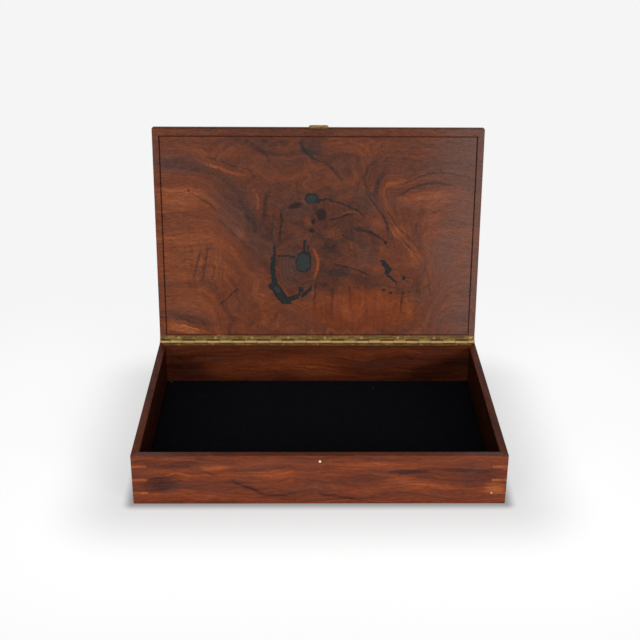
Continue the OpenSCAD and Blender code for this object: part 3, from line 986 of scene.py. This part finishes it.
def dress_body():
    low = (body_low.x + SKIN, body_low.y + SKIN, body_low.z)
    high = (body_high.x - SKIN, body_high.y - SKIN, body_high.z)
    outer = tool_object(eased_block("outer", low, high, [CORNER_EASE] * 4, EDGE_EASE))
    side = side_wall_t - SKIN
    inner_low = (body_low.x + side, body_low.y + front_wall_t - SKIN, body_low.z - 1)
    inner_high = (body_high.x - side, body_high.y - back_wall_t + SKIN, body_high.z)
    core = tool_object(flared_core("core", inner_low, inner_high, EDGE_EASE))
    cuts = [("INTERSECT", outer), ("DIFFERENCE", core)]
    # Grain axis, seed, marks, tone, redness, shade painted on the inner face and the rim, and gloss
    woods = {
        "front_wall": (0, 3.0, FRONT_PATCHES, 0.52, 0.42, 0.6, 0.3, 0.22),
        "back_wall": (0, 9.0, BACK_GRAIN_AND_SHADE, 0.47, 0.4, 0.45, 0.4, 0.08),
        "left_wall": (1, 15.0, [], 0.44, 0.4, 0.9, 0.25, 0.07),
        "right_wall": (1, 21.0, [], 0.44, 0.4, 0.9, 0.35, 0.07),
    }
    for node, look in woods.items():
        wood = material(node + "_wood", lambda graph: wall_wood(graph, *look))
        piece = eased_copy(node, wood, cuts)
        soften_normals(piece)
        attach(piece, "box")
    pale = material("key_wood", key_wood)
    for node in frame["nodes"]:
        if node.startswith("key_"):
            piece = eased_copy(node, pale, [("INTERSECT", outer)])
            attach(piece, "box")
    paint("bottom_panel", material("panel_wood", panel_wood))


def dress_lid():
    low = (-lid_half_w + SKIN, -lid_len + SKIN, PIN_LIFT + SKIN)
    high = (lid_half_w - SKIN, PIN_INSET - SKIN, PIN_LIFT + LID_T - SKIN)
    radii = [LID_CORNER_R, LID_CORNER_R, LID_EASE, LID_EASE]
    outer = tool_object(eased_block("lid_outer", low, high, radii, LID_EASE, open_lid))
    piece = eased_copy("lid_panel", material("lid_wood", lid_wood), [("INTERSECT", outer)])
    soften_normals(piece)
    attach(piece, "lid")


def felt_face(columns, rows):
    """The felt's face: a grid with slow waves, random fuzz and a lower edge."""
    low, high = felt_low, felt_high
    fuzz = random.Random(4)
    points = []
    for j in range(rows + 1):
        for i in range(columns + 1):
            x = low.x + (high.x - low.x) * i / columns
            y = low.y + (high.y - low.y) * j / rows
            wave = FELT_WAVE * math.sin(x / 23) * math.cos(y / 17)
            lift = fuzz.uniform(-FELT_FUZZ, FELT_FUZZ)
            drop = FELT_EDGE if i in (0, columns) or j in (0, rows) else 0.0
            points.append((x, y, high.z - FELT_SINK + lift + wave - drop))
    return points


def grid_border(columns, rows):
    """Numbers of a grid's border points, anticlockwise."""
    across = columns + 1
    border = list(range(across))
    border += [j * across + columns for j in range(1, rows + 1)]
    border += [rows * across + i for i in range(columns - 1, -1, -1)]
    border += [j * across for j in range(rows - 1, 0, -1)]
    return border


def dress_felt():
    """A cut sheet of felt with a slightly uneven face and soft edges."""
    size = felt_high - felt_low
    columns = round(size.x / FELT_STEP)
    rows = round(size.y / FELT_STEP)
    across = columns + 1
    points = felt_face(columns, rows)
    faces = [
        (j * across + i, j * across + i + 1, (j + 1) * across + i + 1, (j + 1) * across + i)
        for j in range(rows)
        for i in range(columns)
    ]
    border = grid_border(columns, rows)
    under = list(range(len(points), len(points) + len(border)))
    points += [(points[k][0], points[k][1], felt_low.z) for k in border]
    faces += zip(border, under, shifted(under), shifted(border))
    faces.append(under)
    felt = new_object("felt_sheet", mesh_from("felt_sheet", points, faces), material("felt", felt_cloth))
    for face in felt.data.polygons:
        face.use_smooth = len(face.vertices) == 4
    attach(felt, "box")
    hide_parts("felt_lining")


def paint(node, surface):
    coat(frame["nodes"][node].data, surface)


# Distances from the pin over which the slots' painted shadow and the barrel's painted highlight end
SLOTS_END = (2.9, 2.4)
BARREL_END = (1.9, 1.4)


def leaf_brass(graph, side, from_pin):
    """Brass of the lid's leaf (side 1) or the body's (-1): painted shadow round the other's knuckles,
    painted highlight on the barrel.
    """
    x, _, _ = graph.place()
    turn = (x - (body_low.x + KNUCKLE_FIRST)) * (math.pi / KNUCKLE_L)
    own = graph.math("SINE", turn) * side
    slots = graph.step(own, 0.2, -0.1) * graph.step(from_pin, *SLOTS_END)
    knuckles = graph.step(from_pin, *BARREL_END)
    lay_brass(graph, 0.5, LEAF_BRASS, knuckles * 0.6, slots)


def lid_leaf_brass(graph):
    leaf_brass(graph, 1, lid_place(graph)[1])


def body_leaf_brass(graph):
    leaf_brass(graph, -1, pin.y - graph.place()[1])


def dress_hinge():
    paint("hinge_leaf_body", material("body_leaf_brass", body_leaf_brass))
    paint("hinge_leaf_lid", material("lid_leaf_brass", lid_leaf_brass))
    paint("hinge_pin", brass("pin_brass", 0.7))
    for node in ("hinge_screws_body", "hinge_screws_lid"):
        paint(node, brass("screw_brass_" + node[-3:], 0.8, SCREW_BRASS_GLINT))


def strip_path():
    """Middle line of the catch strip in the closed lid's frame, as (y, z), from the top."""
    y = -lid_len - STRIP_T / 2
    top = PIN_LIFT + STRIP_BASE_H
    bend_z = PIN_LIFT - STRIP_HOLE_DROP - STRIP_BELOW_HOLE
    steps = 34
    path = [(y, top + (bend_z - top) * i / steps) for i in range(steps)]
    radius = LIP_R + STRIP_T / 2
    turns = 12
    for i in range(turns + 1):
        angle = math.radians(90 * i / turns)
        path.append((y - radius + radius * math.cos(angle), bend_z - radius * math.sin(angle)))
    tips = 4
    last_y, last_z = path[-1]
    path += [(last_y - LIP_TIP * i / tips, last_z) for i in range(1, tips + 1)]
    return path


def rounded_half(half, radius, distance):
    """Half width at a distance from the strip's end, whose corners have this radius."""
    if distance >= radius:
        return half
    return half - radius + math.sqrt(radius ** 2 - (radius - distance) ** 2)


def strip_rings(path):
    """Cross-sections along the strip's middle line, narrower at its rounded ends."""
    lengths = [0.0]
    for (y0, z0), (y1, z1) in zip(path, path[1:]):
        lengths.append(lengths[-1] + math.hypot(y1 - y0, z1 - z0))
    ease = STRIP_EASE
    t = STRIP_T / 2
    rings = []
    for i, (y, z) in enumerate(path):
        y0, z0 = path[max(i - 1, 0)]
        y1, z1 = path[min(i + 1, len(path) - 1)]
        along = Vector((0, y1 - y0, z1 - z0)).normalized()
        out = along.cross(Vector((1, 0, 0)))
        half = min(
            rounded_half(STRIP_W / 2, STRIP_TOP_R, lengths[i]),
            rounded_half(STRIP_W / 2, LIP_CORNER_R, lengths[-1] - lengths[i]),
        )
        section = [
            (-half, -t + ease), (-half + ease, -t), (half - ease, -t), (half, -t + ease),
            (half, t - ease), (half - ease, t), (-half + ease, t), (-half, t - ease),
        ]
        middle = Vector((0, y, z))
        rings.append([middle + Vector((x, 0, 0)) + out * offset for x, offset in section])
    return rings


def dress_catch():
    """One bent strip stands for the plate and the tongue, and bends where they meet."""
    mesh = loft("catch_strip", strip_rings(strip_path()), open_lid)
    strip = new_object("catch_strip", mesh, brass("strip_brass", 0.5))
    turn = Matrix.Rotation(math.radians(90), 4, "X")
    at_hole = open_lid @ Matrix.Translation((0, -lid_len, PIN_LIFT - STRIP_HOLE_DROP)) @ turn
    turns = [2 * math.pi * step / HOLE_STEPS for step in range(HOLE_STEPS)]
    hole = [
        [(STRIP_HOLE_R * math.cos(a), STRIP_HOLE_R * math.sin(a), z) for a in turns]
        for z in STRIP_HOLE_ENDS
    ]
    shaped(strip, [("DIFFERENCE", tool_object(loft("stud_hole", hole, at_hole)))])
    soften_normals(strip)
    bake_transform(strip)
    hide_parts("catch_plate", "catch_tongue")
    paint("catch_pins", brass("catch_pin_brass", 0.7))
    paint("strike_stud", brass("stud_brass", 0.9, STUD_BRASS_GLINT))


# Stage

# The background's brightness, the even light, and the floor's own colour, glow and half size
WHITE = 0.913
FILL = 0.22
FLOOR_GREY = 0.45
FLOOR_GLOW = 0.78
FLOOR_HALF = 3000

# The shadow painted on the floor round the body, wide and tight: its reach from the body, and its darkness
# there
FLOOR_PAINTED_SHADOW = [(90.0, 0.24), (12.0, 0.44)]

# Distances from the body over which the floor turns into the background
FLOOR_FADE = (60.0, 340.0)

# The camera: place in millimetres, pitch, yaw and roll in degrees, lens and sensor in millimetres
CAMERA_AT = Vector((-12.74, -959.18, 575.4))
CAMERA_TURN = (25.03, 0.81, 0.40)
CAMERA_FOCAL = 63.97
CAMERA_SENSOR = 36


def make_camera():
    pitch, yaw, roll = map(math.radians, CAMERA_TURN)
    ahead = Vector((math.sin(yaw) * math.cos(pitch), math.cos(yaw) * math.cos(pitch), -math.sin(pitch)))
    right = Vector((math.cos(yaw), -math.sin(yaw), 0))
    up = right.cross(ahead)
    side = right * math.cos(roll) + up * math.sin(roll)
    top = up * math.cos(roll) - right * math.sin(roll)
    data = bpy.data.cameras.new("camera")
    data.lens = CAMERA_FOCAL
    data.sensor_width = CAMERA_SENSOR
    data.clip_start = 0.01
    camera = placed("camera", data)
    turn = Matrix((side, top, -ahead)).transposed().to_4x4()
    camera.matrix_world = Matrix.Translation(CAMERA_AT * MM) @ turn
    bpy.context.scene.camera = camera


def area_light(name, at, aim, size, watts):
    data = bpy.data.lights.new(name, "AREA")
    data.shape = "RECTANGLE"
    data.size, data.size_y = size
    data.energy = watts
    made = placed(name, data)
    made.location = at
    made.rotation_euler = (Vector(aim) - Vector(at)).to_track_quat("-Z", "Y").to_euler()


def seen_directly(graph):
    """1 for the camera and for reflections, 0 for the light that surfaces throw on each other."""
    path = graph.node("ShaderNodeLightPath").outputs
    seen = graph.math("MAXIMUM", Field(graph, path["Is Camera Ray"]), Field(graph, path["Is Glossy Ray"]))
    return graph.math("MAXIMUM", seen, Field(graph, path["Is Transmission Ray"]))


def floor_surface(graph):
    """A glowing white floor that turns into the background further out.

    Its glow hides most of the lamps' own shadow, so the dark border round the body is painted.
    """
    x, y, _ = graph.place()
    beside = graph.math("MAXIMUM", graph.math("ABSOLUTE", x) - body_high.x, 0.0)
    before = graph.math("MAXIMUM", graph.math("ABSOLUTE", y) - body_high.y, 0.0)
    away = graph.math("SQRT", beside * beside + before * before)
    wide, tight = (graph.step(away, reach, 0.0) * dark for reach, dark in FLOOR_PAINTED_SHADOW)
    clear = 1.0 - (wide + tight)
    far = graph.step(away, *FLOOR_FADE)
    grey = clear * (1.0 - far) * FLOOR_GREY
    shine = graph.node("ShaderNodeEmission")
    glow = seen_directly(graph) * (clear * FLOOR_GLOW + far * (WHITE - FLOOR_GLOW))
    graph.put(shine.inputs["Strength"], glow)
    matt = graph.node("ShaderNodeBsdfDiffuse")
    graph.put(matt.inputs["Color"], graph.vector(grey, grey, grey))
    both = graph.node("ShaderNodeAddShader")
    graph.tree.links.new(matt.outputs[0], both.inputs[0])
    graph.tree.links.new(shine.outputs[0], both.inputs[1])
    graph.shade(both)


def make_stage():
    half = FLOOR_HALF
    flat = [(-half, -half, 0), (half, -half, 0), (half, half, 0), (-half, half, 0)]
    floor = new_object("floor", mesh_from("floor", flat, [(0, 1, 2, 3)]), material("floor", floor_surface))


def make_world():
    """A white background for the camera and reflections, and a weak even light for the box."""
    world = bpy.data.worlds.new("studio")
    world.use_nodes = True
    graph = Graph(world.node_tree)
    background = graph.node("ShaderNodeBackground")
    background.inputs["Color"].default_value = (1, 1, 1, 1)
    graph.put(background.inputs["Strength"], seen_directly(graph) * (WHITE - FILL) + FILL)
    output = graph.node("ShaderNodeOutputWorld")
    world.node_tree.links.new(background.outputs[0], output.inputs["Surface"])
    bpy.context.scene.world = world


# Lamps: place, aim and size in metres, and watts
LAMPS = {
    "right": ((1.5, -1.9, 0.6), (0, 0, 0.12), (1.3, 0.9), 30),
    "left": ((-1.5, -1.9, 0.6), (0, 0, 0.12), (1.3, 0.9), 20),
    "above": ((0, -0.9, 2.2), (0, 0, 0), (2.0, 1.2), 5),
}

bpy.context.scene.view_settings.view_transform = "Standard"

make_camera()
dress_body()
dress_lid()
dress_felt()
dress_hinge()
dress_catch()
remove_tools()
make_stage()
make_world()
for lamp_name, lamp in LAMPS.items():
    area_light(lamp_name, *lamp)
